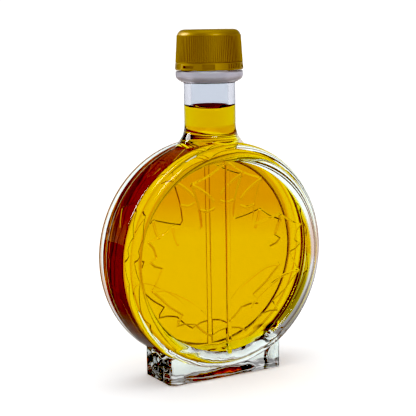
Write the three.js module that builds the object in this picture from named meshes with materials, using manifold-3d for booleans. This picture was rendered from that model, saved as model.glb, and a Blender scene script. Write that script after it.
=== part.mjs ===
// A round, flat flask of clear glass on a block foot, full of amber syrup, with a maple leaf in
// low relief on both faces and a ribbed screw cap that still has its tamper band.
// Millimetres, +Z up. The origin is the middle of the foot's underside, and the flask's faces
// look along -Y and +Y.
import * as THREE from 'three';
import { mergeVertices } from 'three/addons/utils/BufferGeometryUtils.js';
import Module from 'manifold-3d';

const wasm = await Module();
wasm.setup();
const { Manifold, Mesh } = wasm;

// Driving dimensions of the flask's disc, whose axis lies along Y.
const DISC_R = 50.05;
const DISC_CENTRE_Z = 54.5;
const PANEL_Y = 13.3;
const RIM_ROUND = 1.5;

// The raised ring round each face has the section of a circle's arc.
const RING_R = 45.05;
const RING_WIDTH = 5.5;
const RING_HEIGHT = 1.5;

// The block foot, and the hollow under it.
const FOOT = { width: 57.6, depth: 24.9, top: 16, corner: 1.2 };
const PUNT = { halfWidth: 19, halfDepth: 8.5, height: 2.8 };

// The neck, its root on the disc, the bead under the cap, and the plain finish inside the cap.
const NECK_R = 11.3;
const ROOT = { radius: 24, bottom: 98, top: 114, halfDepth: 11.8 };
const BEAD = { radius: 14.66, bottom: 129.9, low: 132.6, high: 134.9, top: 135.8 };
const FINISH = { radius: 12.6, top: 151.9 };

// The hollow inside: a disc with well rounded edges, a funnel and a straight bore.
const HOLLOW = { radius: 45.4, halfDepth: 10.5, round: 7 };
const BORE_R = 8.36;
const FUNNEL = { radius: 14, bottom: 97, top: 107, halfDepth: 10.2 };

const LEVEL_Z = 120.2;
const GAP = 0.3;

// The cap's radius shrinks evenly from the tamper band's lower edge to its top.
const CAP = { bottom: 136.2, top: 153.67, bottomR: 15, topR: 13.9, shoulder: 2, innerR: 13.1, roof: 1.3 };
const BAND_TOP = 139.5;
const RIBS = { count: 90, depth: 0.35, top: 151.8, crest: 0.5, groove: 0.75 };

// Relief on each face: how far the leaf stands out of the panel, and how far the veins do.
const LEAF_RISE = 0.4;
const VEIN_RISE = 0.8;
const RELIEF_ROOT = 0.6;
const MIDRIB = { width: 2.3, top: 41, bottom: -44 };
const VEIN_WIDTH = 1.3;

// The right half of the leaf, as [x, height above the disc's centre], from its tip to its stalk.
const LEAF_HALF = [
  [0, 43.4], [4.9, 39.6], [11.1, 36.4], [18.4, 34.1], [16.6, 29.4], [14.6, 23], [13.6, 15.2],
  [15, 14.1], [20.6, 15.4], [27.8, 17.4], [34.3, 13.2], [39.8, 10.8], [36.2, 6.4], [39.2, 2],
  [34.6, -1], [38.6, -10.5], [30.6, -18.3], [24.2, -22.6], [26.6, -28.1], [18, -27.4], [9, -35],
  [0, -32.4],
];

// Veins of the right half, each as its own open line.
const VEINS_HALF = [
  [[1, 17.5], [8.9, 27.7], [18, 33.8]],
  [[1, 6], [15, 9.4], [27.4, 17]],
  [[1, -10], [18, -2.5], [39.2, 10.5]],
  [[1, -22], [16.2, -19.2], [23.3, -14.6], [30.9, -10.9], [38, -10.3]],
];

// Sides of the round solids: the disc, the hollow in it, and all that turns about the neck's axis.
const DISC_SIDES = 72;
const HOLLOW_SIDES = 56;
const NECK_SIDES = 44;

/** Six times the volume inside a closed triangle mesh; below zero where its faces point in. */
function volumeSign(points, faces) {
  const [a, b, c] = [new THREE.Vector3(), new THREE.Vector3(), new THREE.Vector3()];
  let sum = 0;
  for (let i = 0; i < faces.length; i += 3) {
    a.fromArray(points, faces[i] * 3);
    b.fromArray(points, faces[i + 1] * 3);
    c.fromArray(points, faces[i + 2] * 3);
    sum += a.dot(b.cross(c));
  }
  return sum;
}

/** Turns a closed three.js geometry into a solid for joining and cutting. */
function toSolid(geometry) {
  const bare = geometry.clone();
  bare.deleteAttribute('normal');
  bare.deleteAttribute('uv');
  const merged = mergeVertices(bare, 1e-3);
  const points = merged.attributes.position.array;
  const index = merged.index.array;
  const faces = [];
  for (let i = 0; i < index.length; i += 3) {
    const [a, b, c] = [index[i], index[i + 1], index[i + 2]];
    if (a !== b && b !== c && c !== a) faces.push(a, b, c);
  }
  if (volumeSign(points, faces) < 0) faces.reverse();
  return new Manifold(new Mesh({
    numProp: 3,
    vertProperties: Float32Array.from(points),
    triVerts: Uint32Array.from(faces),
  }));
}

/** Turns a solid back into a geometry. */
function toGeometry(solid) {
  const mesh = solid.getMesh();
  const geometry = new THREE.BufferGeometry();
  geometry.setAttribute('position', new THREE.BufferAttribute(mesh.vertProperties, 3));
  geometry.setIndex(new THREE.BufferAttribute(mesh.triVerts, 1));
  geometry.computeVertexNormals();
  return geometry;
}

/** Points [radius, height] of an arc round a centre, from one angle to another in degrees. */
function arc(centreR, centreH, radius, from, to, steps) {
  const points = [];
  for (let i = 0; i <= steps; i += 1) {
    const angle = THREE.MathUtils.degToRad(from + ((to - from) * i) / steps);
    points.push([centreR + radius * Math.cos(angle), centreH + radius * Math.sin(angle)]);
  }
  return points;
}

/** Spins a profile of [radius, height] points about +Y. */
function spinY(profile, segments) {
  return new THREE.LatheGeometry(profile.map(([r, h]) => new THREE.Vector2(r, h)), segments);
}

/** Spins a profile of [radius, height] points about +Z. */
function spinZ(profile, segments) {
  return spinY(profile, segments).rotateX(Math.PI / 2);
}

/** A disc about the Y axis through the flask's centre, from the profile of its front half. */
function discSolid(halfProfile, segments) {
  const back = halfProfile.map(([r, y]) => [r, -y]);
  const whole = [...back, ...[...halfProfile].reverse()];
  return toSolid(spinY(whole, segments).translate(0, 0, DISC_CENTRE_Z));
}

/** A block that is centred on X and Y. */
function block(width, depth, bottom, top) {
  const shape = new THREE.BoxGeometry(width, depth, top - bottom);
  return toSolid(shape.translate(0, 0, (bottom + top) / 2));
}

/** The curve from a wide circle at the bottom to a narrow one at the top, as a profile. */
function flare(wide, narrow, bottom, top, steps) {
  const points = [];
  for (let i = 0; i <= steps; i += 1) {
    const angle = ((Math.PI / 2) * i) / steps;
    const r = narrow + (wide - narrow) * (1 - Math.sin(angle));
    points.push([r, bottom + (top - bottom) * (1 - Math.cos(angle))]);
  }
  return points;
}

/** The flask's round body: flat panels, a raised ring on each and a softened rim. */
function bodySolid() {
  const half = RING_WIDTH / 2;
  const ringArcR = (half * half + RING_HEIGHT * RING_HEIGHT) / (2 * RING_HEIGHT);
  const spread = THREE.MathUtils.radToDeg(Math.asin(half / ringArcR));
  const ringArcY = PANEL_Y + RING_HEIGHT - ringArcR;
  const ring = arc(RING_R, ringArcY, ringArcR, 90 + spread, 90 - spread, 5);
  const rim = arc(DISC_R - RIM_ROUND, PANEL_Y - RIM_ROUND, RIM_ROUND, 90, 0, 3);
  return discSolid([[0, PANEL_Y], ...ring, ...rim], DISC_SIDES);
}

/** The neck with its spreading root, held between the body's faces. */
function neckSolid() {
  const inside = 62;
  const root = flare(ROOT.radius, NECK_R, ROOT.bottom, ROOT.top, 6);
  const lowRound = BEAD.low - BEAD.bottom;
  const bead = [
    [NECK_R, BEAD.bottom],
    [NECK_R + 0.35 * (BEAD.radius - NECK_R), BEAD.bottom + 0.3 * lowRound],
    [NECK_R + 0.8 * (BEAD.radius - NECK_R), BEAD.bottom + 0.7 * lowRound],
    [BEAD.radius, BEAD.low + 0.3],
    [BEAD.radius, BEAD.high],
    [BEAD.radius - 0.9, BEAD.top],
  ];
  const finish = [[FINISH.radius, BEAD.top], [FINISH.radius, FINISH.top], [0, FINISH.top]];
  const profile = [[0, inside], [ROOT.radius, inside], ...root, ...bead, ...finish];
  const neck = toSolid(spinZ(profile, NECK_SIDES));
  const between = block(3 * DISC_R, 2 * ROOT.halfDepth, inside - 1, BEAD.bottom - 6);
  const above = block(3 * DISC_R, 3 * NECK_R, BEAD.bottom - 6, FINISH.top + 1);
  return neck.intersect(between.add(above));
}

/** The block foot, with its upright edges rounded. */
function footSolid() {
  const shape = new THREE.Shape();
  const [x, y, r] = [FOOT.width / 2, FOOT.depth / 2, FOOT.corner];
  shape.moveTo(x, r - y);
  shape.absarc(x - r, y - r, r, 0, Math.PI / 2);
  shape.absarc(r - x, y - r, r, Math.PI / 2, Math.PI);
  shape.absarc(r - x, r - y, r, Math.PI, 1.5 * Math.PI);
  shape.absarc(x - r, r - y, r, 1.5 * Math.PI, 2 * Math.PI);
  const foot = new THREE.ExtrudeGeometry(shape, { depth: FOOT.top, bevelEnabled: false, curveSegments: 3 });
  const punt = new THREE.SphereGeometry(1, 28, 14).rotateX(Math.PI / 2);
  punt.scale(PUNT.halfWidth, PUNT.halfDepth, PUNT.height);
  return toSolid(foot).subtract(toSolid(punt));
}

/** The hollow inside the glass up to a height, smaller all round by a margin. */
function hollowSolid(top, margin) {
  const radius = HOLLOW.radius - margin;
  const depth = HOLLOW.halfDepth - margin;
  const round = HOLLOW.round - margin;
  const edge = arc(radius - round, depth - round, round, 90, 0, 5);
  const disc = discSolid([[0, depth], ...edge], HOLLOW_SIDES);
  const inside = 70;
  const wide = FUNNEL.radius - margin;
  const bore = BORE_R - margin;
  const funnel = flare(wide, bore, FUNNEL.bottom, FUNNEL.top, 4);
  const profile = [[0, inside], [wide, inside], ...funnel, [bore, top], [0, top]];
  const between = block(2 * DISC_R, 2 * (FUNNEL.halfDepth - margin), inside - 1, top + 1);
  return disc.add(toSolid(spinZ(profile, NECK_SIDES)).intersect(between));
}

/** A flat outline in X and height, raised out of the front panel. */
function relief(outline, rise) {
  const shape = new THREE.Shape(outline.map(([x, h]) => new THREE.Vector2(x, h)));
  const plate = new THREE.ExtrudeGeometry(shape, { depth: RELIEF_ROOT + rise, bevelEnabled: false });
  plate.rotateX(Math.PI / 2);
  return toSolid(plate.translate(0, RELIEF_ROOT - PANEL_Y, DISC_CENTRE_Z));
}

/** A vein along an open line, with mitred bends. */
function vein(line, width, rise) {
  const points = line.map(([x, h]) => new THREE.Vector2(x, h));
  const left = [];
  const right = [];
  points.forEach((point, i) => {
    const before = points[Math.max(i - 1, 0)];
    const after = points[Math.min(i + 1, points.length - 1)];
    const along = after.clone().sub(before).normalize();
    const across = new THREE.Vector2(-along.y, along.x).multiplyScalar(width / 2);
    left.push(point.clone().add(across).toArray());
    right.unshift(point.clone().sub(across).toArray());
  });
  return relief([...left, ...right], rise);
}

/** Mirrors an outline or a line from the right half of the leaf to the left. */
function mirrored(line) {
  return line.map(([x, h]) => [-x, h]);
}

/** The leaf of the front face: a raised leaf, its midrib with the stalk, and its side veins. */
function leafSolid() {
  const leftHalf = mirrored(LEAF_HALF).reverse().slice(1, -1);
  let leaf = relief([...LEAF_HALF, ...leftHalf], LEAF_RISE);
  leaf = leaf.add(vein([[0, MIDRIB.bottom], [0, MIDRIB.top]], MIDRIB.width, VEIN_RISE));
  for (const line of VEINS_HALF) {
    leaf = leaf.add(vein(line, VEIN_WIDTH, VEIN_RISE));
    leaf = leaf.add(vein(mirrored(line), VEIN_WIDTH, VEIN_RISE));
  }
  return leaf;
}

/** The flask: one piece of glass, hollow, with its mouth open inside the cap. */
function bottle() {
  const front = leafSolid();
  const back = front.mirror([0, 1, 0]);
  const outside = bodySolid().add(neckSolid()).add(footSolid()).add(front).add(back);
  return outside.subtract(hollowSolid(FINISH.top + 2, 0));
}

/** The syrup, up to its level in the neck. */
function syrup() {
  return hollowSolid(LEVEL_Z, GAP);
}

/** The cap's outer radius at a height. */
function capRadius(z) {
  return CAP.bottomR + ((CAP.topR - CAP.bottomR) * (z - CAP.bottom)) / (CAP.top - CAP.bottom);
}

/** A wall with upright ribs that narrows as the cap does. */
function ribbedSolid(bottom, top) {
  const outline = [];
  const pitch = (2 * Math.PI) / RIBS.count;
  const corners = [[0, 0], [RIBS.crest, 0], [RIBS.groove, RIBS.depth]];
  for (let i = 0; i < RIBS.count; i += 1) {
    for (const [share, depth] of corners) {
      const r = CAP.bottomR - depth;
      const angle = (i + share) * pitch;
      outline.push(new THREE.Vector2(r * Math.cos(angle), r * Math.sin(angle)));
    }
  }
  const shape = new THREE.Shape(outline);
  const wall = new THREE.ExtrudeGeometry(shape, { depth: top - bottom, bevelEnabled: false });
  const position = wall.attributes.position;
  for (let i = 0; i < position.count; i += 1) {
    const z = bottom + position.getZ(i);
    const shrink = capRadius(z) / CAP.bottomR;
    position.setXYZ(i, position.getX(i) * shrink, position.getY(i) * shrink, z);
  }
  return toSolid(wall);
}

/** The screw cap: a ribbed skirt under a smooth rounded shoulder, hollow from below. */
function cap() {
  const skirtBottom = BAND_TOP + GAP;
  const shoulderR = capRadius(RIBS.top) - RIBS.depth / 2;
  const round = arc(CAP.topR - CAP.shoulder, CAP.top - CAP.shoulder, CAP.shoulder, 0, 90, 4);
  const crown = [[0, RIBS.top - 2], [shoulderR, RIBS.top - 2], ...round, [0, CAP.top]];
  const hollow = [[0, skirtBottom - 1], [CAP.innerR, skirtBottom - 1], [CAP.innerR, CAP.top - CAP.roof],
    [0, CAP.top - CAP.roof]];
  return ribbedSolid(skirtBottom, RIBS.top)
    .add(toSolid(spinZ(crown, NECK_SIDES)))
    .subtract(toSolid(spinZ(hollow, NECK_SIDES)));
}

/** The tamper band: a plain ring under the skirt, with a small rounded lower edge. */
function tamperBand() {
  const edge = 0.4;
  const section = [
    [CAP.innerR, CAP.bottom],
    [CAP.bottomR - edge, CAP.bottom],
    [CAP.bottomR, CAP.bottom + edge],
    [capRadius(BAND_TOP), BAND_TOP],
    [CAP.innerR, BAND_TOP],
    [CAP.innerR, CAP.bottom],
  ];
  return toSolid(spinZ(section, NECK_SIDES));
}

/** A mesh of a named sub-part in its own material. */
function part(name, solid, colour, roughness, metalness) {
  const material = new THREE.MeshStandardMaterial({ color: colour, roughness, metalness });
  const mesh = new THREE.Mesh(toGeometry(solid), material);
  mesh.name = name;
  return mesh;
}

const flask = new THREE.Group();
flask.add(
  part('bottle', bottle(), 0xe6edf2, 0.05, 0),
  part('syrup', syrup(), 0xd79a00, 0.05, 0),
  part('cap', cap(), 0x94750c, 0.35, 0.8),
  part('tamper_band', tamperBand(), 0x94750c, 0.35, 0.8),
);

export default flask;
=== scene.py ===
"""Finishes, fine surfaces, studio and camera for a round glass flask of amber syrup.

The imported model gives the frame. Sizes are in millimetres unless a comment says otherwise, and MM
turns them to metres.
"""
import logging
import math
from collections.abc import Callable
from dataclasses import dataclass, field
from enum import Enum

import bpy
from mathutils import Matrix, Vector


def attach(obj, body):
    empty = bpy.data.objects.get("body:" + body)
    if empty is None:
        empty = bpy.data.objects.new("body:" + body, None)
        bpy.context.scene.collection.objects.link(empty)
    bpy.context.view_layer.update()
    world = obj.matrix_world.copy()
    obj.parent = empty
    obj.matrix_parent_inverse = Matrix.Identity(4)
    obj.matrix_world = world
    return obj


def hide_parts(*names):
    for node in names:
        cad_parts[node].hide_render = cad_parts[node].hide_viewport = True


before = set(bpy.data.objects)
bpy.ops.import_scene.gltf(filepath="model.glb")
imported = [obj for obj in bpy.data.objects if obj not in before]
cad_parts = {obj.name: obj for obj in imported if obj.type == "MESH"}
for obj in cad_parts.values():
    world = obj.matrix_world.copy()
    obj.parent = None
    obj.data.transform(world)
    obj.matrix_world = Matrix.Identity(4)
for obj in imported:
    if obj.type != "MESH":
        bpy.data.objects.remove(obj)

log = logging.getLogger("flask")

MM = 0.001
FULL_TURN = 2.0 * math.pi
ORIGIN = (0.0, 0.0, 0.0)
# Vertices nearer than this stand at the same height.
SAME_HEIGHT = 1e-3
# A margin for telling faces apart by their places.
SLIGHT = 0.01
# How far a tool that cuts through a piece passes it.
CUT_PAST = 2.0
# A face whose normal has at least this share along an axis faces that way.
FACING = 0.9
GLASS_IOR = 1.52
SYRUP_IOR = 1.48
# Light at or under the one prints black, and at or over the other white.
BLACK_LEVEL = 0.07
WHITE_LEVEL = 0.93
# Sockets of a colour Mix node, by number, because its other kinds' sockets have the same names.
MIX_SHARE, MIX_FROM, MIX_TO, MIX_RESULT = 0, 6, 7, 2

Point = tuple[float, float]
Corner = tuple[float, float, float]
Colour = tuple[float, float, float, float]
Piece = bpy.types.Object


class Cut(Enum):
    """How a tool piece acts on the piece it meets."""

    JOIN = "UNION"
    CARVE = "DIFFERENCE"


class Pick(Enum):
    """A kind of mesh element, with its select mode and the mesh's list of them."""

    VERTEX = ("VERT", "vertices")
    EDGE = ("EDGE", "edges")
    FACE = ("FACE", "polygons")


class Axis(Enum):
    """The axis that a profile is spun about."""

    ALONG_Y = (0.0, 1.0, 0.0)
    ALONG_Z = (0.0, 0.0, 1.0)


def linear(colour: str) -> Colour:
    """Turns an sRGB hex colour to the linear values that Blender's sockets hold.

    Args:
        colour: Six hex digits, with or without a leading #.

    Returns:
        Linear red, green and blue, and an alpha of 1.
    """
    digits = colour.lstrip("#")
    parts = [int(digits[i:i + 2], 16) / 255.0 for i in (0, 2, 4)]
    red, green, blue = (p / 12.92 if p <= 0.04045 else ((p + 0.055) / 1.055) ** 2.4 for p in parts)
    return (red, green, blue, 1.0)


def grey(value: float) -> Colour:
    """Gives a neutral linear colour."""
    return (value, value, value, 1.0)


def add_node(
    tree: bpy.types.NodeTree,
    kind: str,
    settings: dict[str | int, object] | None = None,
    links: dict[str | int, bpy.types.NodeSocket] | None = None,
) -> bpy.types.Node:
    """Adds a node, sets it up and links other nodes into it.

    Args:
        tree: The node tree that gets the node.
        kind: The node's type name, without the ShaderNode at its start.
        settings: Input sockets' values, by name or number, and the node's own properties, by name.
        links: Output sockets of other nodes, by the name or number of the input that each one feeds.

    Returns:
        The new node.
    """
    node = tree.nodes.new(f"ShaderNode{kind}")
    for name, value in (settings or {}).items():
        if isinstance(name, int) or name in node.inputs:
            node.inputs[name].default_value = value
        else:
            setattr(node, name, value)
    for name, source in (links or {}).items():
        tree.links.new(source, node.inputs[name])
    return node


def blank_material(name: str) -> bpy.types.Material:
    """Makes a material with an empty node tree.

    Args:
        name: The material's name.

    Returns:
        The material.
    """
    material = bpy.data.materials.new(name)
    material.use_nodes = True
    material.node_tree.nodes.clear()
    return material


def arc(centre: Point, radius: float, start: float, end: float, steps: int) -> list[Point]:
    """Gives the points of an arc, ends included.

    Args:
        centre: The arc's centre, as radius and height.
        radius: The arc's own radius.
        start: Its first angle from the radius direction, in degrees.
        end: Its last angle, in degrees.
        steps: How many straight pieces it has.

    Returns:
        Points of radius and height.
    """
    points = []
    for i in range(steps + 1):
        angle = math.radians(start + (end - start) * i / steps)
        points.append((centre[0] + radius * math.cos(angle), centre[1] + radius * math.sin(angle)))
    return points


def flare(wide: float, narrow: float, bottom: float, top: float, steps: int) -> list[Point]:
    """Gives a concave quarter ellipse from a wide ring at the bottom to a narrow one at the top.

    Args:
        wide: The radius at the bottom.
        narrow: The radius at the top.
        bottom: The height of the wide ring.
        top: The height of the narrow ring.
        steps: How many straight pieces it has.

    Returns:
        Points of radius and height.
    """
    points = []
    for i in range(steps + 1):
        angle = math.pi / 2 * i / steps
        radius = narrow + (wide - narrow) * (1 - math.sin(angle))
        points.append((radius, bottom + (top - bottom) * (1 - math.cos(angle))))
    return points


def smooth_stroke(points: list[Point], step: float) -> list[Point]:
    """Draws a smooth curve through a few points, its ends included.

    Args:
        points: The points that the curve passes through.
        step: About how long its straight pieces are.

    Returns:
        The curve's points.
    """
    padded = [points[0], *points, points[-1]]
    curve = []
    for a, b, c, d in zip(padded, padded[1:], padded[2:], padded[3:]):
        pieces = max(1, round(math.dist(b, c) / step))
        for i in range(pieces):
            t = i / pieces
            curve.append(tuple(
                0.5 * (2 * q + (r - p) * t + (2 * p - 5 * q + 4 * r - s) * t * t
                       + (3 * q - p - 3 * r + s) * t ** 3)
                for p, q, r, s in zip(a, b, c, d)
            ))
    return [*curve, points[-1]]


class Bench:
    """The operator steps that every sub-assembly is modelled with."""

    @staticmethod
    def release() -> None:
        """Leaves edit mode and deselects every object."""
        if bpy.context.object and bpy.context.object.mode != "OBJECT":
            bpy.ops.object.mode_set(mode="OBJECT")
        bpy.ops.object.select_all(action="DESELECT")

    @staticmethod
    def name_active(name: str) -> Piece:
        """Names the active object and its mesh.

        Args:
            name: The name for both.

        Returns:
            The active object.
        """
        piece = bpy.context.object
        piece.name = name
        piece.data.name = name
        return piece

    @staticmethod
    def edit(piece: Piece) -> None:
        """Opens a piece alone in edit mode with everything in it selected.

        Args:
            piece: The piece to open.
        """
        Bench.release()
        bpy.context.view_layer.objects.active = piece
        piece.select_set(True)
        bpy.ops.object.mode_set(mode="EDIT")
        bpy.ops.mesh.select_all(action="SELECT")

    @staticmethod
    def pick(piece: Piece, kind: Pick, wanted: Callable[..., bool]) -> None:
        """Opens a piece in edit mode with only some of its elements selected.

        Args:
            piece: The piece to open.
            kind: The kind of element that is selected.
            wanted: Tells from a mesh element whether it is selected.
        """
        mode, elements = kind.value
        Bench.edit(piece)
        bpy.ops.mesh.select_mode(type=mode)
        bpy.ops.mesh.select_all(action="DESELECT")
        bpy.ops.object.mode_set(mode="OBJECT")
        for element in getattr(piece.data, elements):
            element.select = wanted(element)
        bpy.ops.object.mode_set(mode="EDIT")

    @staticmethod
    def press(piece: Piece, below: float, half_depth: Callable[[float], float]) -> None:
        """Presses a spun piece's lower rings from round to oval, front to back.

        Args:
            piece: The spun piece.
            below: The height under which rings are pressed.
            half_depth: Gives half a ring's depth from its height.
        """
        heights = sorted({round(v.co.z / MM, 3) for v in piece.data.vertices if v.co.z < below * MM})
        for height in heights:
            Bench.pick(piece, Pick.VERTEX, lambda v, z=height: abs(v.co.z / MM - z) < SAME_HEIGHT)
            bpy.ops.object.mode_set(mode="OBJECT")
            radius = max(math.hypot(v.co.x, v.co.y) for v in piece.data.vertices if v.select) / MM
            bpy.ops.object.mode_set(mode="EDIT")
            flat = half_depth(height) / radius
            bpy.ops.transform.resize(value=(1.0, flat, 1.0), center_override=ORIGIN)
        Bench.release()

    @staticmethod
    def chain(name: str, points: list[Vector]) -> Piece:
        """Draws an open chain of vertices, one extrusion to a point.

        Args:
            name: The new object's name.
            points: The chain's points, in metres.

        Returns:
            The object, in edit mode, with its last vertex selected.
        """
        Bench.release()
        bpy.ops.mesh.primitive_plane_add(size=MM)
        piece = Bench.name_active(name)
        Bench.edit(piece)
        bpy.ops.mesh.merge(type="CENTER")
        bpy.ops.transform.translate(value=points[0])
        for before, after in zip(points, points[1:]):
            bpy.ops.mesh.extrude_region_move(TRANSFORM_OT_translate={"value": after - before})
        return piece

    @staticmethod
    def spin(
        name: str, profile: list[Point], axis: Axis, steps: int, height: float = 0.0,
    ) -> Piece:
        """Spins a closed solid from a profile that starts and ends on its axis.

        Args:
            name: The new object's name.
            profile: Points of radius and place along the axis.
            axis: The axis of the spin.
            steps: How many sides the solid has.
            height: How far the axis stands above the origin.

        Returns:
            The solid, in object mode.
        """
        if axis is Axis.ALONG_Y:
            points = [Vector((r, along, height)) * MM for r, along in profile]
        else:
            points = [Vector((r, 0.0, along + height)) * MM for r, along in profile]
        piece = Bench.chain(name, points)
        bpy.ops.mesh.select_all(action="SELECT")
        bpy.ops.mesh.spin(steps=steps, angle=FULL_TURN, center=(0.0, 0.0, height * MM), axis=axis.value)
        Bench.close(piece)
        return piece

    @staticmethod
    def close(piece: Piece) -> None:
        """Merges doubles, turns all faces outwards and leaves edit mode.

        Args:
            piece: The piece, which is open in edit mode.
        """
        bpy.ops.mesh.select_all(action="SELECT")
        bpy.ops.mesh.remove_doubles(threshold=MM * 0.001)
        bpy.ops.mesh.normals_make_consistent(inside=False)
        Bench.release()

    @staticmethod
    def plate(
        name: str, outline: list[Point], low: float, high: float, flank: tuple[Point, ...],
    ) -> Piece:
        """Raises a plate from an outline in X and Z, with a flank stepped in ring by ring.

        Args:
            name: The new object's name.
            outline: Points of X and Z, in order round the plate.
            low: The Y of its sunk face.
            high: The Y at which its flank starts.
            flank: How far each ring of the flank steps in, and how far it rises.

        Returns:
            The plate, in object mode.
        """
        points = [Vector((x, low, z)) * MM for x, z in outline]
        piece = Bench.chain(name, points)
        bpy.ops.mesh.select_all(action="SELECT")
        bpy.ops.mesh.edge_face_add()
        bpy.ops.mesh.extrude_region_move(TRANSFORM_OT_translate={"value": (0.0, (high - low) * MM, 0.0)})
        bpy.ops.mesh.select_all(action="SELECT")
        bpy.ops.mesh.normals_make_consistent(inside=False)
        Bench.pick(piece, Pick.FACE, lambda face: face.normal.y < -FACING)
        for inward, rise in flank:
            bpy.ops.mesh.inset(thickness=inward * MM, depth=rise * MM, use_even_offset=True)
        bpy.ops.mesh.select_mode(type="VERT")
        Bench.close(piece)
        return piece

    @staticmethod
    def block(name: str, low: Corner, high: Corner) -> Piece:
        """Makes a block between two corners.

        Args:
            name: The new object's name.
            low: Its left, front and bottom corner.
            high: Its right, back and top corner.

        Returns:
            The block, in edit mode.
        """
        Bench.release()
        bpy.ops.mesh.primitive_cube_add(size=1.0)
        piece = Bench.name_active(name)
        Bench.edit(piece)
        size = [(b - a) * MM for a, b in zip(low, high)]
        bpy.ops.transform.resize(value=size, center_override=ORIGIN)
        bpy.ops.transform.translate(value=[(a + b) / 2 * MM for a, b in zip(low, high)])
        return piece

    @staticmethod
    def copy(piece: Piece, name: str) -> Piece:
        """Copies a piece with a mesh of its own.

        Args:
            piece: The piece to copy.
            name: The copy's name.

        Returns:
            The copy.
        """
        twin = piece.copy()
        twin.data = piece.data.copy()
        twin.name = name
        twin.data.name = name
        bpy.context.scene.collection.objects.link(twin)
        return twin

    @staticmethod
    def turned(piece: Piece, name: str, angle: float) -> Piece:
        """Copies a piece and turns the copy about the Z axis.

        Args:
            piece: The piece to copy.
            name: The copy's name.
            angle: How far it turns from the front towards the left, in radians.

        Returns:
            The copy, in object mode.
        """
        twin = Bench.copy(piece, name)
        Bench.edit(twin)
        bpy.ops.transform.rotate(value=angle, orient_axis="Z", center_override=ORIGIN)
        Bench.release()
        return twin

    @staticmethod
    def ring_of(piece: Piece, angles: list[float]) -> Piece:
        """Copies a piece to a list of angles about the Z axis, and joins the copies.

        Args:
            piece: The piece to copy, which is used up.
            angles: Where the copies go, in degrees.

        Returns:
            The joined copies, as one object.
        """
        copies = [Bench.turned(piece, f"{piece.name}_{i}", math.radians(a)) for i, a in enumerate(angles)]
        bpy.data.objects.remove(piece)
        for twin in copies:
            twin.select_set(True)
        bpy.context.view_layer.objects.active = copies[0]
        bpy.ops.object.join()
        Bench.release()
        return copies[0]

    @staticmethod
    def combine(piece: Piece, tool: Piece, how: Cut) -> None:
        """Joins, carves or keeps a piece by another one, which is used up.

        Args:
            piece: The piece that is changed.
            tool: The piece that changes it and is then removed.
            how: What the tool does.
        """
        Bench.release()
        bpy.context.view_layer.objects.active = piece
        modifier = piece.modifiers.new(how.name, "BOOLEAN")
        modifier.operation = how.value
        modifier.solver = "EXACT"
        modifier.material_mode = "TRANSFER"
        modifier.object = tool
        bpy.ops.object.modifier_apply(modifier=modifier.name)
        bpy.data.objects.remove(tool)

    @staticmethod
    def close_gaps(piece: Piece) -> None:
        """Fills any sliver that a cut left open, so that the piece is closed.

        Args:
            piece: The piece.
        """
        Bench.edit(piece)
        bpy.ops.mesh.fill_holes(sides=4)
        Bench.release()

    @staticmethod
    def dress(piece: Piece, *materials: bpy.types.Material) -> None:
        """Gives a piece its materials.

        Args:
            piece: The piece.
            materials: The materials, in the order of its slots.
        """
        piece.data.materials.clear()
        for material in materials:
            piece.data.materials.append(material)

    @staticmethod
    def smooth(piece: Piece, degrees: float) -> None:
        """Shades a piece smooth up to an angle, with flat faces kept flat at their edges.

        Args:
            piece: The piece.
            degrees: The largest angle between faces that still looks smooth.
        """
        Bench.release()
        bpy.context.view_layer.objects.active = piece
        piece.select_set(True)
        bpy.ops.object.shade_smooth_by_angle(angle=math.radians(degrees))
        weighted = piece.modifiers.new("weighted", "WEIGHTED_NORMAL")
        weighted.keep_sharp = True
        bpy.ops.object.modifier_apply(modifier=weighted.name)
        Bench.release()


@dataclass(frozen=True)
class GlassFinish:
    """Pressed soda-lime glass: colourless, mirror smooth, and bent only where the mould bent it."""

    name: str = "soda_lime_glass"
    ior: float = GLASS_IOR
    shine: float = 0.7
    tint: str = "#ffffff"
    roughness: float = 0.0
    clear: float = 1.0
    # The mould leaves soft waves, 8 mm apart, which are deep in the foot and faint above it.
    wave_length: float = 8.0
    wave_depth: float = 1.5
    waves_above: float = 0.02
    wavy_to: float = 17.0
    wavy_fade: float = 3.0

    def material(self) -> bpy.types.Material:
        """Makes the glass, as a smooth refracting surface.

        Returns:
            The material.
        """
        material = blank_material(self.name)
        tree = material.node_tree
        place = add_node(tree, "TexCoord").outputs["Object"]
        height = add_node(tree, "SeparateXYZ", links={"Vector": place})
        fade = add_node(tree, "MapRange", {
            "interpolation_type": "SMOOTHSTEP",
            "From Min": (self.wavy_to - self.wavy_fade) * MM,
            "From Max": self.wavy_to * MM,
            "To Min": 1.0,
            "To Max": self.waves_above,
        }, {"Value": height.outputs["Z"]})
        waves = add_node(tree, "TexNoise", {
            "Scale": 1.0 / (self.wave_length * MM), "Detail": 1.0}, {"Vector": place})
        shallow = add_node(tree, "Math", {"operation": "MULTIPLY"}, {
            0: waves.outputs["Fac"], 1: fade.outputs["Result"]})
        bump = add_node(tree, "Bump", {"Strength": 1.0, "Distance": self.wave_depth * MM},
                        {"Height": shallow.outputs["Value"]})
        shader = add_node(tree, "BsdfPrincipled", {
            "Base Color": linear(self.tint),
            "Roughness": self.roughness,
            "IOR": self.ior,
            "Transmission Weight": self.clear,
            "Specular Tint": grey(self.shine),
        }, {"Normal": bump.outputs["Normal"]})
        add_node(tree, "OutputMaterial", links={"Surface": shader.outputs["BSDF"]})
        return material


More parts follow.
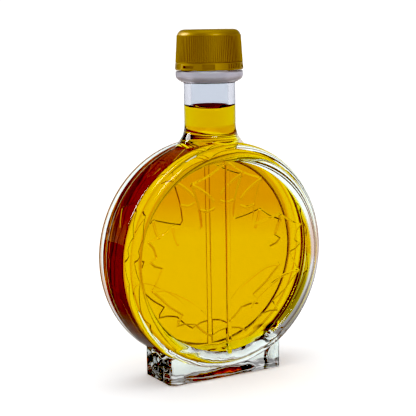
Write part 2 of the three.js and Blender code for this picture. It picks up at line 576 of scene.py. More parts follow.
@dataclass(frozen=True)
class SyrupFinish:
    """Amber syrup: clear, and darker the longer the way that light takes through it."""

    name: str
    ior: float
    shine: float = 0.5
    # How much of each colour a millimetre of syrup takes away.
    absorbs: tuple[float, float, float] = (0.009, 0.033, 0.28)

    def material(self) -> bpy.types.Material:
        """Makes the syrup, as a smooth surface round an absorbing volume.

        Returns:
            The material.
        """
        material = blank_material(self.name)
        tree = material.node_tree
        shader = add_node(tree, "BsdfPrincipled", {
            "Base Color": grey(1.0),
            "Roughness": 0.0,
            "IOR": self.ior,
            "Transmission Weight": 1.0,
            "Specular Tint": grey(self.shine),
        })
        strongest = max(self.absorbs)
        kept = tuple(1.0 - share / strongest for share in self.absorbs)
        volume = add_node(tree, "VolumeAbsorption", {
            "Color": (*kept, 1.0),
            "Density": strongest / MM,
        })
        add_node(tree, "OutputMaterial", links={
            "Surface": shader.outputs["BSDF"],
            "Volume": volume.outputs["Volume"],
        })
        return material


@dataclass(frozen=True)
class GoldFinish:
    """Moulded polypropylene with a gold metal coat: satin, with soft broad highlights."""

    name: str
    colour: str = "#a68727"
    roughness: float = 0.48
    metallic: float = 0.6
    # A thin clear lacquer over the gold pales it where it is seen from the side.
    lacquer: float = 0.3
    lacquer_roughness: float = 0.3
    grain_size: float = 0.8
    grain_depth: float = 0.02
    grain_strength: float = 0.15

    def material(self) -> bpy.types.Material:
        """Makes the gold, slightly uneven from the mould.

        Returns:
            The material.
        """
        material = blank_material(self.name)
        tree = material.node_tree
        place = add_node(tree, "TexCoord").outputs["Object"]
        grain = add_node(tree, "TexNoise", {
            "Scale": 1.0 / (self.grain_size * MM), "Detail": 2.0}, {"Vector": place})
        bump = add_node(tree, "Bump", {
            "Strength": self.grain_strength, "Distance": self.grain_depth * MM,
        }, {"Height": grain.outputs["Fac"]})
        shader = add_node(tree, "BsdfPrincipled", {
            "Base Color": linear(self.colour),
            "Metallic": self.metallic,
            "Roughness": self.roughness,
            "Coat Weight": self.lacquer,
            "Coat Roughness": self.lacquer_roughness,
        }, {"Normal": bump.outputs["Normal"]})
        add_node(tree, "OutputMaterial", links={"Surface": shader.outputs["BSDF"]})
        return material


@dataclass
class Hollow:
    """The space inside the glass: a round-edged disc, a flattened funnel and a straight bore."""

    centre_z: float = 54.5
    radius: float = 46.0
    half_depth: float = 10.5
    edge_round: float = 6.4
    bore_radius: float = 8.36
    funnel_radius: float = 14.0
    funnel_half_depth: float = 10.0
    funnel_bottom: float = 97.0
    funnel_top: float = 108.5
    inside_z: float = 70.0
    contact_z: float = 121.0
    disc_sides: int = 192
    column_sides: int = 160
    edge_steps: int = 18
    funnel_steps: int = 14

    def funnel_depth(self, height: float) -> float:
        """Gives half the funnel's depth at a height."""
        share = min(max((height - self.funnel_bottom) / (self.funnel_top - self.funnel_bottom), 0.0), 1.0)
        return self.funnel_half_depth + (self.bore_radius - self.funnel_half_depth) * share

    def flat_top(self, top: float) -> list[Point]:
        """Gives a flat top for the bore, with a ring at the syrup's contact line."""
        return [(self.bore_radius, self.contact_z), (self.bore_radius, top), (0.0, top)]

    def solid(self, name: str, margin: float, top: list[Point]) -> Piece:
        """Models the space, larger all round by a margin.

        Args:
            name: The new object's name.
            margin: How much larger it is than the hollow.
            top: The bore's profile from its wall to the axis.

        Returns:
            The solid, in object mode.
        """
        radius = self.radius + margin
        depth = self.half_depth + margin
        edge = self.edge_round + margin
        front = [(0.0, depth), *arc((radius - edge, depth - edge), edge, 90, 0, self.edge_steps)]
        back = [(r, -y) for r, y in front]
        disc = Bench.spin(name, [*back, *reversed(front)], Axis.ALONG_Y, self.disc_sides, self.centre_z)
        wide = self.funnel_radius + margin
        bore = self.bore_radius + margin
        funnel = flare(wide, bore, self.funnel_bottom, self.funnel_top, self.funnel_steps)
        profile = [(0.0, self.inside_z), (wide, self.inside_z), *funnel, *top]
        column = Bench.spin(f"{name}_column", profile, Axis.ALONG_Z, self.column_sides)
        Bench.press(column, self.funnel_top, lambda z: margin + self.funnel_depth(z))
        Bench.combine(disc, column, Cut.JOIN)
        return disc


@dataclass
class Leaf:
    """The maple leaf in relief: a raised pad, a midrib that runs on as the stalk, and veins."""

    centre_z: float = 54.5
    panel_y: float = -13.3
    root: float = 0.8
    # Each flank is a soft S from the panel up: how far it steps in, and how far it rises.
    pad_flank: tuple[Point, ...] = (
        (0.11, 0.015), (0.11, 0.06), (0.16, 0.15), (0.18, 0.19), (0.16, 0.15), (0.11, 0.06), (0.11, 0.015))
    midrib_flank: tuple[Point, ...] = (
        (0.05, 0.45), (0.07, 0.36), (0.12, 0.22), (0.16, 0.13), (0.18, 0.06), (0.20, 0.02))
    vein_flank: tuple[Point, ...] = (
        (0.16, 0.02), (0.18, 0.06), (0.18, 0.07), (0.18, 0.05), (0.16, 0.02))
    pad_low: float = 0.01
    midrib_low: float = 0.05
    # The midrib's two ends, in height above the disc's centre.
    midrib_ends: tuple[float, float] = (-44.0, 41.0)
    midrib_width: float = 2.5
    vein_width: float = 1.9
    vein_low: float = 0.58
    outline_step: float = 2.6
    vein_step: float = 1.3
    # The right half's outline: smooth strokes of X and height above the disc's centre, which
    # meet at the leaf's teeth and notches, from its tip down to its stalk.
    strokes: list[list[Point]] = field(default_factory=lambda: [
        [(0, 43.6), (4.9, 39.6), (11.1, 36.4), (18.4, 34.1)],
        [(18.4, 34.1), (16.1, 28.0), (14.3, 21.5), (13.6, 15.2)],
        [(13.6, 15.2), (14.4, 14.1)],
        [(14.4, 14.1), (19.4, 15.1), (27.8, 17.4)],
        [(27.8, 17.4), (32.6, 13.9), (39.8, 10.8)],
        [(39.8, 10.8), (37.2, 7.9), (36.0, 4.2)],
        [(36.0, 4.2), (39.2, 2.0)],
        [(39.2, 2.0), (36.4, -0.4), (33.4, -1.5)],
        [(33.4, -1.5), (35.8, -6.2), (38.6, -10.5)],
        [(38.6, -10.5), (34.4, -14.4), (30.3, -18.5), (23.9, -23.0)],
        [(23.9, -23.0), (25.9, -25.5), (26.6, -28.1)],
        [(26.6, -28.1), (22.0, -27.6), (17.0, -28.6)],
        [(17.0, -28.6), (13.6, -32.0), (9.0, -35.0)],
        [(9.0, -35.0), (5.0, -33.0), (1.0, -32.4)],
    ])
    veins: list[list[Point]] = field(default_factory=lambda: [
        [(6.5, 24.9), (8.9, 27.7), (13.6, 31.3), (17.8, 33.5)],
        [(6.2, 22.7), (9.8, 21.4), (14.0, 22.4)],
        [(24.8, 7.7), (26.8, 12.8), (27.6, 16.8)],
        [(11.4, -24.5), (16.2, -19.2), (23.3, -14.6), (30.9, -10.9), (37.6, -10.4)],
    ])

    def half_outline(self) -> list[Point]:
        """Draws the right half's outline.

        Returns:
            Its points, from the tip to the stalk.
        """
        points: list[Point] = []
        for stroke in self.strokes:
            points.extend(smooth_stroke(stroke, self.outline_step)[:-1])
        return [*points, self.strokes[-1][-1]]

    def lifted(self, line: list[Point]) -> list[Point]:
        """Moves a line from the leaf's own centre to the disc's."""
        return [(x, z + self.centre_z) for x, z in line]

    def strip(
        self, name: str, line: list[Point], width: float, foot: float, flank: tuple[Point, ...],
    ) -> Piece:
        """Raises a rounded bar along a line.

        Args:
            name: The new object's name.
            line: The line that it follows, in X and height above the disc's centre.
            width: The bar's width.
            foot: How far above the panel its flank starts.
            flank: The steps of its flank.

        Returns:
            The bar.
        """
        left, right = [], []
        for i, point in enumerate(line):
            before, after = line[max(i - 1, 0)], line[min(i + 1, len(line) - 1)]
            along = Vector((after[0] - before[0], after[1] - before[1])).normalized()
            across = Vector((-along.y, along.x)) * width / 2
            left.append((point[0] + across.x, point[1] + across.y))
            right.insert(0, (point[0] - across.x, point[1] - across.y))
        outline = self.lifted([*left, *right])
        return Bench.plate(name, outline, self.panel_y + self.root, self.panel_y - foot, flank)

    def relief(self) -> Piece:
        """Models the whole relief of the front panel.

        Returns:
            The relief, as one solid sunk into the panel.
        """
        half = self.half_outline()
        outline = self.lifted([*half, *[(-x, z) for x, z in reversed(half[1:])]])
        sunk, start = self.panel_y + self.root, self.panel_y - self.pad_low
        pad = Bench.plate("leaf_pad", outline, sunk, start, self.pad_flank)
        line = [(0.0, end) for end in self.midrib_ends]
        midrib = self.strip("midrib", line, self.midrib_width, self.midrib_low, self.midrib_flank)
        Bench.combine(pad, midrib, Cut.JOIN)
        for number, vein in enumerate(self.veins):
            for side in (1, -1):
                line = [(x * side, z) for x, z in smooth_stroke(vein, self.vein_step)]
                name = f"vein_{number}_{side}"
                bar = self.strip(name, line, self.vein_width, self.vein_low, self.vein_flank)
                Bench.combine(pad, bar, Cut.JOIN)
        return pad


@dataclass
class GlassFlask:
    """The flask: disc, rings, leaves, foot, neck and bead, pressed as one piece of glass."""

    hollow: Hollow = field(default_factory=Hollow)
    leaf: Leaf = field(default_factory=Leaf)
    disc_radius: float = 50.6
    centre_z: float = 54.5
    panel_y: float = 13.3
    rim_round: float = 2.6
    ring_radius: float = 45.05
    ring_width: float = 5.5
    ring_height: float = 1.5
    foot_width: float = 57.6
    foot_depth: float = 24.9
    foot_top: float = 16.0
    foot_corner: float = 2.6
    # Half the width, half the depth and the height of the hollow under the foot.
    punt: Corner = (19.0, 8.5, 2.8)
    punt_sides: int = 96
    neck_radius: float = 11.3
    neck_inside: float = 62.0
    # The neck runs into the disc by a wide fillet at its sides and a small one front and back.
    side_fillet: float = 12.0
    face_fillet: float = 3.6
    face_fillet_top: float = 108.6
    root_half_depth: float = 12.9
    bead_radius: float = 14.8
    bead_round: float = 2.6
    bead_belly: float = 134.0
    bead_bottom: float = 130.9
    bead_top: float = 135.8
    bead_edge: float = 0.7
    belly_from: float = -78.0
    # The small fillet under the bead, and where the bead's underside starts beyond it.
    lip: float = 0.5
    under_bead: Point = (1.1, 0.1)
    finish_radius: float = 12.6
    finish_top: float = 151.9
    disc_sides: int = 256
    neck_sides: int = 160
    ring_steps: int = 20
    round_steps: int = 14
    root_steps: int = 28
    small_steps: int = 6
    lip_steps: int = 5
    smooth_to: float = 32.0

    def body(self) -> Piece:
        """Spins the disc with its flat panels, raised rings and softened rim.

        Returns:
            The disc.
        """
        half = self.ring_width / 2
        ring_arc = (half ** 2 + self.ring_height ** 2) / (2 * self.ring_height)
        spread = math.degrees(math.asin(half / ring_arc))
        middle = (self.ring_radius, self.panel_y + self.ring_height - ring_arc)
        ring = arc(middle, ring_arc, 90 + spread, 90 - spread, self.ring_steps)
        corner = (self.disc_radius - self.rim_round, self.panel_y - self.rim_round)
        meets = math.degrees(math.acos((self.ring_radius + half - corner[0]) / self.rim_round))
        rim = arc(corner, self.rim_round, meets, 0, self.round_steps)
        front = [(0.0, self.panel_y), *ring[:-1], *rim]
        profile = [*[(r, -y) for r, y in front], *reversed(front)]
        return Bench.spin("flask_glass", profile, Axis.ALONG_Y, self.disc_sides, self.centre_z)

    def neck(self) -> Piece:
        """Spins the neck with its spreading root, its bead and the finish inside the cap.

        Returns:
            The neck.
        """
        away = self.neck_radius + self.side_fillet
        reach = self.disc_radius + self.side_fillet
        fillet_z = self.centre_z + math.sqrt(reach ** 2 - away ** 2)
        meets = 180.0 + math.degrees(math.acos(away / reach))
        root = arc((away, fillet_z), self.side_fillet, meets, 180, self.root_steps)
        lip_middle = (self.neck_radius + self.lip, self.bead_bottom - self.lip)
        belly_middle = (self.bead_radius - self.bead_round, self.bead_belly)
        edge_middle = (self.bead_radius - self.bead_edge, self.bead_top - self.bead_edge)
        profile = [
            (0.0, self.neck_inside),
            (root[0][0], self.neck_inside),
            *root,
            *arc(lip_middle, self.lip, 180, 90, self.lip_steps),
            (self.neck_radius + self.under_bead[0], self.bead_bottom + self.under_bead[1]),
            *arc(belly_middle, self.bead_round, self.belly_from, 0, self.round_steps),
            *arc(edge_middle, self.bead_edge, 0, 90, self.small_steps),
            (self.finish_radius, self.bead_top),
            (self.finish_radius, self.finish_top),
            (0.0, self.finish_top),
        ]
        neck = Bench.spin("neck", profile, Axis.ALONG_Z, self.neck_sides)
        Bench.press(neck, fillet_z, self.root_depth)
        return neck

    def root_depth(self, height: float) -> float:
        """Gives half the neck root's depth at a height.

        Args:
            height: The height.

        Returns:
            Half the depth.
        """
        below = min(max(self.face_fillet_top - height, 0.0), self.face_fillet)
        depth = self.neck_radius + self.face_fillet - math.sqrt(self.face_fillet ** 2 - below ** 2)
        return min(depth, self.root_half_depth)

    def foot(self) -> Piece:
        """Models the block foot, with rounded upright edges and a hollow underneath.

        Returns:
            The foot.
        """
        x, y = self.foot_width / 2, self.foot_depth / 2
        foot = Bench.block("foot", (-x, -y, 0.0), (x, y, self.foot_top))
        Bench.release()
        heights = [vertex.co.z for vertex in foot.data.vertices]
        upright = self.foot_top * MM / 2
        Bench.pick(foot, Pick.EDGE, lambda e: abs(heights[e.vertices[0]] - heights[e.vertices[1]]) > upright)
        bpy.ops.mesh.bevel(offset=self.foot_corner * MM, segments=self.small_steps, affect="EDGES")
        bpy.ops.mesh.select_mode(type="VERT")
        Bench.close(foot)
        bpy.ops.mesh.primitive_uv_sphere_add(
            segments=self.punt_sides, ring_count=self.punt_sides // 2, radius=1.0)
        punt = Bench.name_active("punt")
        Bench.edit(punt)
        bpy.ops.transform.resize(value=[s * MM for s in self.punt], center_override=ORIGIN)
        Bench.release()
        Bench.combine(foot, punt, Cut.CARVE)
        return foot

    def build(self) -> Piece:
        """Models the flask and dresses it.

        Returns:
            The flask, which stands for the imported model's bottle.
        """
        outer = GlassFinish().material()
        inner = GlassFinish(name="soda_lime_glass_inside", tint="#e6ecf0").material()
        # The bead was fire polished and looks soft, as if breathed on.
        soft = GlassFinish(name="soda_lime_glass_bead", tint="#e9e6f2", roughness=0.28, clear=0.6).material()
        # Glass against syrup: the surface bends light by the ratio of the two.
        wet = GlassFinish(name="soda_lime_glass_wet", ior=GLASS_IOR / SYRUP_IOR).material()
        flask = self.body()
        Bench.dress(flask, outer)
        for piece in (self.neck(), self.foot()):
            Bench.dress(piece, outer, soft)
            for face in piece.data.polygons:
                face.material_index = int(self.bead_bottom < face.center.z / MM < self.bead_top)
            Bench.combine(flask, piece, Cut.JOIN)
        front = self.leaf.relief()
        Bench.dress(front, outer)
        back = Bench.turned(front, "leaf_back", math.pi)
        Bench.combine(flask, front, Cut.JOIN)
        Bench.combine(flask, back, Cut.JOIN)
        space = self.hollow.solid("hollow", 0.0, self.hollow.flat_top(self.finish_top + CUT_PAST))
        Bench.dress(space, wet, inner)
        for face in space.data.polygons:
            face.material_index = int(face.center.z / MM > self.hollow.contact_z)
        Bench.combine(flask, space, Cut.CARVE)
        Bench.close_gaps(flask)
        Bench.smooth(flask, self.smooth_to)
        return flask


@dataclass
class Syrup:
    """The syrup, which wets the glass and climbs a little where it meets the bore."""

    hollow: Hollow = field(default_factory=Hollow)
    reach: float = 0.15
    level: float = 118.5
    # How far from the wall the climb falls to about a third.
    fade: float = 3.0
    surface_steps: int = 24
    smooth_to: float = 32.0

    def meniscus(self) -> list[Point]:
        """Draws the surface's profile.

        Returns:
            Its points, from where it meets the wall to the axis.
        """
        bore = self.hollow.bore_radius
        climb = self.hollow.contact_z - self.level
        points = [(bore + self.reach, self.hollow.contact_z)]
        for i in range(self.surface_steps + 1):
            radius = bore * (1 - i / self.surface_steps)
            points.append((radius, self.level + climb * math.exp(-(bore - radius) / self.fade)))
        return points

    def build(self) -> Piece:
        """Models and dresses the syrup.

        Returns:
            The syrup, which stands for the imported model's.
        """
        fill = self.hollow.solid("syrup_fill", self.reach, self.meniscus())
        # The glass has bent the light already where syrup wets it, and only the free surface bends it.
        sides = SyrupFinish("amber_syrup_in_glass", 1.0).material()
        Bench.dress(fill, sides, SyrupFinish("amber_syrup_surface", SYRUP_IOR).material())
        for face in fill.data.polygons:
            place = face.center / MM
            inside = math.hypot(place.x, place.y) < self.hollow.bore_radius - SLIGHT
            face.material_index = int(inside and place.z > self.level - SLIGHT and face.normal.z > 0)
        Bench.smooth(fill, self.smooth_to)
        return fill


@dataclass
class ScrewCap:
    """The gold screw cap: a tapered ribbed skirt under a smooth rounded shoulder."""

    bottom: float = 139.62
    top: float = 153.67
    cone_bottom: float = 136.2
    cone_bottom_radius: float = 15.0
    cone_top_radius: float = 13.9
    shoulder: float = 3.0
    ledge: float = 0.25
    groove_depth: float = 0.35
    rib_top: float = 150.9
    ribs: int = 96
    rib_width: float = 0.52
    # How far each rib runs on into the ledge below, into the shoulder above and into the skirt.
    rib_overlap: Corner = (0.1, 0.4, 0.15)
    # Half of a rib's section: share of half its width, and how far it lies under its crest.
    rib_section: tuple[Point, ...] = ((1.0, 0.2), (0.62, 0.05))
    inside_radius: float = 13.1
    roof: float = 1.3
    chamfer: float = 0.08
    ledge_slope: float = 0.05
    shoulder_from: float = 6.0
    shoulder_steps: int = 14
    sides: int = 288
    smooth_to: float = 35.0

    def radius(self, z: float) -> float:
        """Gives the cone's radius at a height."""
        share = (z - self.cone_bottom) / (self.top - self.cone_bottom)
        return self.cone_bottom_radius + (self.cone_top_radius - self.cone_bottom_radius) * share

    def shell(self) -> Piece:
        """Spins the cap without its ribs, down to the bottoms of the grooves.

        Returns:
            The cap's shell.
        """
        above = self.bottom + self.ledge
        corner = (self.cone_top_radius - self.shoulder, self.top - self.shoulder)
        profile = [
            (0.0, self.top - self.roof),
            (self.inside_radius, self.top - self.roof),
            (self.inside_radius, self.bottom),
            (self.radius(self.bottom) - self.chamfer, self.bottom),
            (self.radius(self.bottom), self.bottom + self.chamfer),
            (self.radius(above), above - self.ledge_slope),
            (self.radius(above) - self.groove_depth, above + self.ledge_slope),
            (self.radius(self.rib_top) - self.groove_depth, self.rib_top),
            *arc(corner, self.shoulder, self.shoulder_from, 90, self.shoulder_steps),
            (0.0, self.top),
        ]
        return Bench.spin("screw_cap", profile, Axis.ALONG_Z, self.sides)

    def rib(self) -> Piece:
        """Models one rounded rib, which leans in with the cone.

        Returns:
            The rib, at the flask's front.
        """
        below, beyond, into = self.rib_overlap
        low, high = self.bottom + self.ledge - below, self.rib_top + beyond
        crest = self.radius(low)
        half = self.rib_width / 2
        right = [(half, crest - self.groove_depth - into)]
        right += [(half * share, crest - under) for share, under in self.rib_section]
        section = [*[(-x, r) for x, r in right], (0.0, crest), *reversed(right)]
        rib = Bench.chain("rib", [Vector((x, -r, low)) * MM for x, r in section])
        bpy.ops.mesh.select_all(action="SELECT")
        bpy.ops.mesh.edge_face_add()
        rise = Vector((0.0, crest - self.radius(high), high - low)) * MM
        bpy.ops.mesh.extrude_region_move(TRANSFORM_OT_translate={"value": rise})
        Bench.close(rib)
        return rib

    def build(self) -> Piece:
        """Models and dresses the cap.

        Returns:
            The cap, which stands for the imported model's.
        """
        cap = self.shell()
        step = 360.0 / self.ribs
        Bench.combine(cap, Bench.ring_of(self.rib(), [i * step for i in range(self.ribs)]), Cut.JOIN)
        Bench.dress(cap, GoldFinish("gold_coated_cap").material())
        Bench.smooth(cap, self.smooth_to)
        return cap


@dataclass
class TamperBand:
    """The band that stays on the neck when the cap is first opened, with pockets and fine grooves."""

    bottom: float = 136.2
    top: float = 139.5
    bottom_radius: float = 15.0
    top_radius: float = 14.79
    inside_radius: float = 13.1
    edge: float = 0.4
    repeats: int = 3
    # Where things stand in each third of the band, in degrees from the flask's front.
    grooves_from: float = -4.5
    groove_step: float = -4.5
    grooves: int = 7
    low_pocket_at: float = 68.5
    tall_pocket_at: float = 31.2
    # Each one's width, bottom, top and depth.
    groove: tuple[float, float, float, float] = (0.45, 136.95, 139.1, 0.45)
    low_pocket: tuple[float, float, float, float] = (5.6, 137.2, 138.3, 1.1)
    tall_pocket: tuple[float, float, float, float] = (5.2, 136.8, 138.9, 1.2)
    top_chamfer: float = 0.1
    sides: int = 288
    inside_sides: int = 144
    smooth_to: float = 30.0

    def pocket(self, name: str, width: float, low: float, high: float, depth: float) -> Piece:
        """Models a block that carves into the band's outside at the flask's front.

        Args:
            name: The block's name.
            width: The pocket's width.
            low: The height of its bottom.
            high: The height of its top.
            depth: Its depth.

        Returns:
            The block.
        """
        front = -self.bottom_radius
        block = Bench.block(name, (-width / 2, front - CUT_PAST, low), (width / 2, front + depth, high))
        Bench.release()
        return block

    def build(self) -> Piece:
        """Models and dresses the band.

        Returns:
            The band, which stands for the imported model's.
        """
        profile = [
            (0.0, self.bottom),
            (self.bottom_radius - self.edge, self.bottom),
            (self.bottom_radius, self.bottom + self.edge),
            (self.top_radius, self.top - self.top_chamfer),
            (self.top_radius - self.top_chamfer, self.top),
            (0.0, self.top),
        ]
        band = Bench.spin("tear_band", profile, Axis.ALONG_Z, self.sides)
        low, high = self.bottom - CUT_PAST, self.top + CUT_PAST
        hole = [(0.0, low), (self.inside_radius, low), (self.inside_radius, high), (0.0, high)]
        Bench.combine(band, Bench.spin("middle", hole, Axis.ALONG_Z, self.inside_sides), Cut.CARVE)
        grooves_at = [self.grooves_from + i * self.groove_step for i in range(self.grooves)]
        third = 360.0 / self.repeats
        for name, size, angles in (
            ("groove", self.groove, grooves_at),
            ("low_pocket", self.low_pocket, [self.low_pocket_at]),
            ("tall_pocket", self.tall_pocket, [self.tall_pocket_at]),
        ):
            places = [angle + third * i for angle in angles for i in range(self.repeats)]
            Bench.combine(band, Bench.ring_of(self.pocket(name, *size), places), Cut.CARVE)
        Bench.dress(band, GoldFinish("gold_coated_band").material())
        Bench.smooth(band, self.smooth_to)
        return band


@dataclass
class Studio:
    """A lit white table in a dim room, with soft boxes that give the glass its glints."""

    floor_size: float = 40.0
    floor_drop: float = 0.3
    table_glow: float = 0.19
    table_white: float = 0.9
    # The room's brightness by the sine of the height above the horizon: pale walls, dark above.
    room: tuple[Point, ...] = ((0.0, 0.75), (0.12, 0.68), (0.26, 0.36), (0.6, 0.3), (0.85, 0.4), (0.95, 1.2))
    overhead: float = 1.6
    overhead_spread: float = 100.0
    # Painted shade: the room and the table are dimmed for light that bounced inside the glass, by the
    # falloff for each bounce past the free ones.
    bounce_free: float = 1.0
    bounce_falloff: float = 0.72
    # Painted shade in reflections: how much of the table's brightness shows in the glass's outside as a
    # mirror image.
    painted_mirror_share: float = 0.3
    # Painted light and shade on the table behind the bottle, seen by every ray but the camera's, by distance
    # in metres: white, then warm, then cool and dimmer.
    painted_table_tones: tuple[tuple[float, str], ...] = (
        (0.0, "#edfaf9"), (0.34, "#edfaf9"), (0.52, "#e0d3c5"), (0.72, "#decec4"), (0.95, "#d6d8e1"))
    # The same painted light and shade beside the bright strip of painted light that runs under the bottle,
    # towards and away from the camera.
    painted_side_tones: tuple[tuple[float, str], ...] = ((0.0, "#d8c6bd"), (0.72, "#d4c0b6"), (0.95, "#d6d8e1"))
    strip_turn: float = 30.5
    # How far from its middle line the strip of painted light starts to fade, and where it ends, in metres.
    strip_half: Point = (0.055, 0.115)
    # Soft boxes: name, side in metres, power, turn from the back towards the right, and rise in degrees.
    boxes: tuple[tuple[str, float, float, float, float], ...] = (
        ("front_box", 0.4, 4.0, -175.0, 31.0),
        ("back_box", 0.5, 8.0, -42.0, 28.0),
    )
    box_away: float = 1.2
    aim_z: float = 70.0

    def bounce_shade(self, tree: bpy.types.NodeTree, light_path: bpy.types.Node) -> bpy.types.NodeSocket:
        """Adds nodes for the painted shade that dims the room and the table for light that bounced inside
        the glass.

        Args:
            tree: The table's or the room's node tree.
            light_path: The tree's Light Path node.

        Returns:
            The socket that gives the share.
        """
        bounces = light_path.outputs["Glossy Depth"]
        beyond = add_node(tree, "Math", {"operation": "SUBTRACT", 1: self.bounce_free}, {0: bounces})
        counted = add_node(tree, "Math", {"operation": "MAXIMUM", 1: 0.0},
                           {0: beyond.outputs["Value"]})
        share = add_node(tree, "Math", {"operation": "POWER", 0: self.bounce_falloff},
                         {1: counted.outputs["Value"]})
        return share.outputs["Value"]

    @staticmethod
    def fill_ramp(ramp: bpy.types.ColorRamp, stops: list[tuple[float, Colour]]) -> None:
        """Sets a colour ramp's stops.

        Args:
            ramp: The ramp.
            stops: The place and colour of each stop, in order.
        """
        while len(ramp.elements) < len(stops):
            ramp.elements.new(0.5)
        for element, (place, colour) in zip(ramp.elements, stops):
            element.position = place
            element.color = colour

    def table_tone(self, tree: bpy.types.NodeTree) -> bpy.types.NodeSocket:
        """Adds nodes for the light and shade painted on the table: a bright strip, with dimmer and warmer
        sides.

        Args:
            tree: The table's node tree.

        Returns:
            The socket that gives the tone.
        """
        place = add_node(tree, "TexCoord").outputs["Object"]
        away = add_node(tree, "VectorMath", {"operation": "LENGTH"}, {"Vector": place})
        # Painted light and shade: a white pool on the table that dims and warms with distance.
        tones = []
        for stops in (self.painted_table_tones, self.painted_side_tones):
            ramp = add_node(tree, "ValToRGB", links={"Fac": away.outputs["Value"]})
            self.fill_ramp(ramp.color_ramp, [(distance, linear(tone)) for distance, tone in stops])
            tones.append(ramp.outputs["Color"])
        along = {"Rotation": (0.0, 0.0, math.radians(self.strip_turn))}
        turned = add_node(tree, "Mapping", along, {"Vector": place})
        across = add_node(tree, "SeparateXYZ", links={"Vector": turned.outputs["Vector"]})
        aside = add_node(tree, "Math", {"operation": "ABSOLUTE"}, {0: across.outputs["X"]})
        inner, outer = self.strip_half
        edge = add_node(tree, "MapRange", {
            "interpolation_type": "SMOOTHSTEP", "From Min": inner, "From Max": outer,
        }, {"Value": aside.outputs["Value"]})
        table = add_node(tree, "Mix", {"data_type": "RGBA"}, {
            MIX_SHARE: edge.outputs["Result"], MIX_FROM: tones[0], MIX_TO: tones[1]})
        return table.outputs[MIX_RESULT]

    def table_material(self) -> bpy.types.Material:
        """Makes the table of matt white acrylic, lit from below: plain white to the camera itself, with
        painted light and shade for every other ray.

        Returns:
            The material.
        """
        material = blank_material("matt_white_acrylic")
        tree = material.node_tree
        light_path = add_node(tree, "LightPath")
        # Painted shade: the table is dimmed where the glass mirrors it.
        mirrored = add_node(tree, "Math", {"operation": "MULTIPLY"}, {
            0: light_path.outputs["Is Singular Ray"], 1: light_path.outputs["Is Reflection Ray"]})
        kept = add_node(tree, "MapRange", {"To Min": 1.0, "To Max": self.painted_mirror_share},
                        {"Value": mirrored.outputs["Value"]})
        # Painted shade: the table is dimmed further for light that bounced inside the glass.
        share = add_node(tree, "Math", {"operation": "MULTIPLY"}, {
            0: kept.outputs["Result"], 1: self.bounce_shade(tree, light_path)})
        dimmed = add_node(tree, "VectorMath", {"operation": "SCALE"}, {
            "Vector": self.table_tone(tree), "Scale": share.outputs["Value"]})
        seen = add_node(tree, "Mix", {"data_type": "RGBA", MIX_TO: grey(1.0)}, {
            MIX_SHARE: light_path.outputs["Is Camera Ray"], MIX_FROM: dimmed.outputs["Vector"]})
        colour = seen.outputs[MIX_RESULT]
        paint = add_node(tree, "VectorMath", {"operation": "SCALE", "Scale": self.table_white},
                         {"Vector": colour})
        matt = add_node(tree, "BsdfDiffuse", links={"Color": paint.outputs["Vector"]})
        glow = add_node(tree, "Emission", {"Strength": self.table_glow}, {"Color": colour})
        both = add_node(tree, "AddShader", links={
            0: matt.outputs["BSDF"], 1: glow.outputs["Emission"]})
        add_node(tree, "OutputMaterial", links={"Surface": both.outputs["Shader"]})
        return material

    def build_table(self) -> None:
        """Lays the table just under the foot."""
        Bench.release()
        bpy.ops.mesh.primitive_plane_add(size=self.floor_size)
        floor = Bench.name_active("studio_floor")
        Bench.edit(floor)
        bpy.ops.transform.translate(value=(0.0, 0.0, -self.floor_drop * MM))
        Bench.release()
        floor.data.materials.append(self.table_material())

    def build_room(self) -> None:
        """Makes the room dim, with a white wall behind whatever the camera sees."""
        world = bpy.data.worlds.new("studio_room")
        bpy.context.scene.world = world
        world.use_nodes = True
        tree = world.node_tree
        tree.nodes.clear()
        light_path = add_node(tree, "LightPath")
        upwards = add_node(tree, "TexCoord").outputs["Generated"]
        height = add_node(tree, "SeparateXYZ", links={"Vector": upwards})
        tones = add_node(tree, "ValToRGB", links={"Fac": height.outputs["Z"]})
        self.fill_ramp(tones.color_ramp, [(rise, grey(level)) for rise, level in self.room])
        # Painted shade: the room is dimmed for light that bounced inside the glass.
        dim = add_node(tree, "Background", links={
            "Color": tones.outputs["Color"], "Strength": self.bounce_shade(tree, light_path)})
        wall = add_node(tree, "Background", {"Color": grey(1.0), "Strength": 1.0})
        seen = add_node(tree, "MixShader", links={
            0: light_path.outputs["Is Camera Ray"],
            1: dim.outputs["Background"],
            2: wall.outputs["Background"],
        })
        add_node(tree, "OutputWorld", links={"Surface": seen.outputs["Shader"]})

    def build_lights(self) -> None:
        """Hangs a broad overhead light for the table and soft boxes for the glints."""
        sun = bpy.data.lights.new("overhead", "SUN")
        sun.energy = self.overhead
        sun.angle = math.radians(self.overhead_spread)
        lamp = bpy.data.objects.new("overhead", sun)
        lamp.visible_glossy = False
        lamp.visible_transmission = False
        bpy.context.scene.collection.objects.link(lamp)
        for name, size, power, turn, rise in self.boxes:
            self.hang_box(name, size, power, math.radians(turn), math.radians(rise))

    def hang_box(self, name: str, size: float, power: float, turn: float, rise: float) -> None:
        """Hangs a square soft box that faces the flask and shows only as a glint.

        Args:
            name: Its name.
            size: Its side, in metres.
            power: Its power, in watts.
            turn: Where it hangs round the flask, from the back towards the right, in radians.
            rise: How high it hangs, in radians.
        """
        box = bpy.data.lights.new(name, "AREA")
        box.shape = "SQUARE"
        box.size = size
        box.energy = power
        outwards = Vector((math.sin(turn) * math.cos(rise), math.cos(turn) * math.cos(rise), math.sin(rise)))
        pose = outwards.to_track_quat("Z", "Y").to_matrix().to_4x4()
        pose.translation = outwards * self.box_away + Vector((0.0, 0.0, self.aim_z * MM))
        holder = bpy.data.objects.new(name, box)
        bpy.context.scene.collection.objects.link(holder)
        holder.matrix_world = pose
        holder.visible_camera = False
        holder.visible_diffuse = False
        holder.visible_transmission = False

    def build(self) -> None:
        """Lays the table and lights the scene."""
        self.build_table()
        self.build_room()
        self.build_lights()


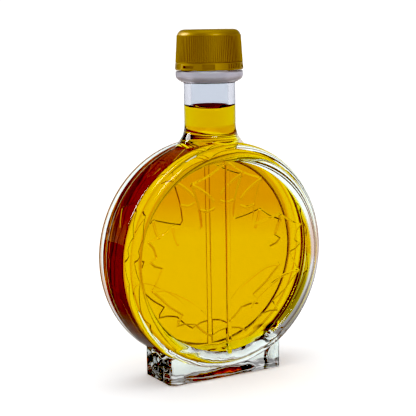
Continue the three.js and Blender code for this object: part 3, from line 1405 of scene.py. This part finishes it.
@dataclass
class CameraStand:
    """The camera at the photograph's place: left of the flask's front and a little above it."""

    azimuth: float = 30.50
    distance: float = 529.8
    height: float = 159.6
    lens_pixels: float = 1201.0
    image_pixels: float = 416.0
    sensor: float = 36.0
    down: float = 9.11
    turn: float = -0.16
    roll: float = -0.90

    def build(self) -> None:
        """Sets up the camera and makes it the scene's."""
        around = math.radians(self.azimuth)
        place = Vector((-math.sin(around), -math.cos(around), 0.0)) * self.distance
        heading = around + math.radians(self.turn)
        level = Vector((math.sin(heading), math.cos(heading), 0.0))
        side = Vector((math.cos(heading), -math.sin(heading), 0.0))
        dip = math.radians(self.down)
        forward = level * math.cos(dip) - Vector((0.0, 0.0, math.sin(dip)))
        above = level * math.sin(dip) + Vector((0.0, 0.0, math.cos(dip)))
        tilt = math.radians(self.roll)
        right = side * math.cos(tilt) + above * math.sin(tilt)
        upright = above * math.cos(tilt) - side * math.sin(tilt)
        pose = Matrix((right, upright, -forward)).transposed().to_4x4()
        pose.translation = (place + Vector((0.0, 0.0, self.height))) * MM
        data = bpy.data.cameras.new("camera")
        data.sensor_width = self.sensor
        data.lens = self.sensor * self.lens_pixels / self.image_pixels
        data.clip_start = 0.01
        data.clip_end = 100.0
        camera = bpy.data.objects.new("camera", data)
        bpy.context.scene.collection.objects.link(camera)
        camera.matrix_world = pose
        bpy.context.scene.camera = camera


def set_exposure() -> None:
    """Sets how light turns to picture values, and how deep light is followed through the glass."""
    scene = bpy.context.scene
    scene.view_settings.view_transform = "Standard"
    scene.view_settings.use_curve_mapping = True
    curve = scene.view_settings.curve_mapping
    curve.black_level = (BLACK_LEVEL, BLACK_LEVEL, BLACK_LEVEL)
    curve.white_level = (WHITE_LEVEL, WHITE_LEVEL, WHITE_LEVEL)
    curve.update()
    cycles = scene.cycles
    cycles.max_bounces = 32
    cycles.transmission_bounces = 32
    cycles.transparent_max_bounces = 32
    cycles.glossy_bounces = 16
    cycles.volume_bounces = 2
    cycles.use_denoising = True


def main() -> None:
    """Builds the flask's pieces in order, then the studio."""
    logging.basicConfig(level=logging.INFO, format="%(message)s")
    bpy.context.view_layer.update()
    glass = GlassFlask().build()
    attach(glass, "root")
    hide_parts("bottle")
    log.info("glass: %d faces", len(glass.data.polygons))
    syrup = Syrup().build()
    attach(syrup, "root")
    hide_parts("syrup")
    log.info("syrup: %d faces", len(syrup.data.polygons))
    cap = ScrewCap().build()
    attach(cap, "root")
    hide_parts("cap")
    log.info("cap: %d faces", len(cap.data.polygons))
    band = TamperBand().build()
    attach(band, "root")
    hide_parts("tamper_band")
    log.info("band: %d faces", len(band.data.polygons))
    Studio().build()
    CameraStand().build()
    set_exposure()


if __name__ == "__main__":
    main()
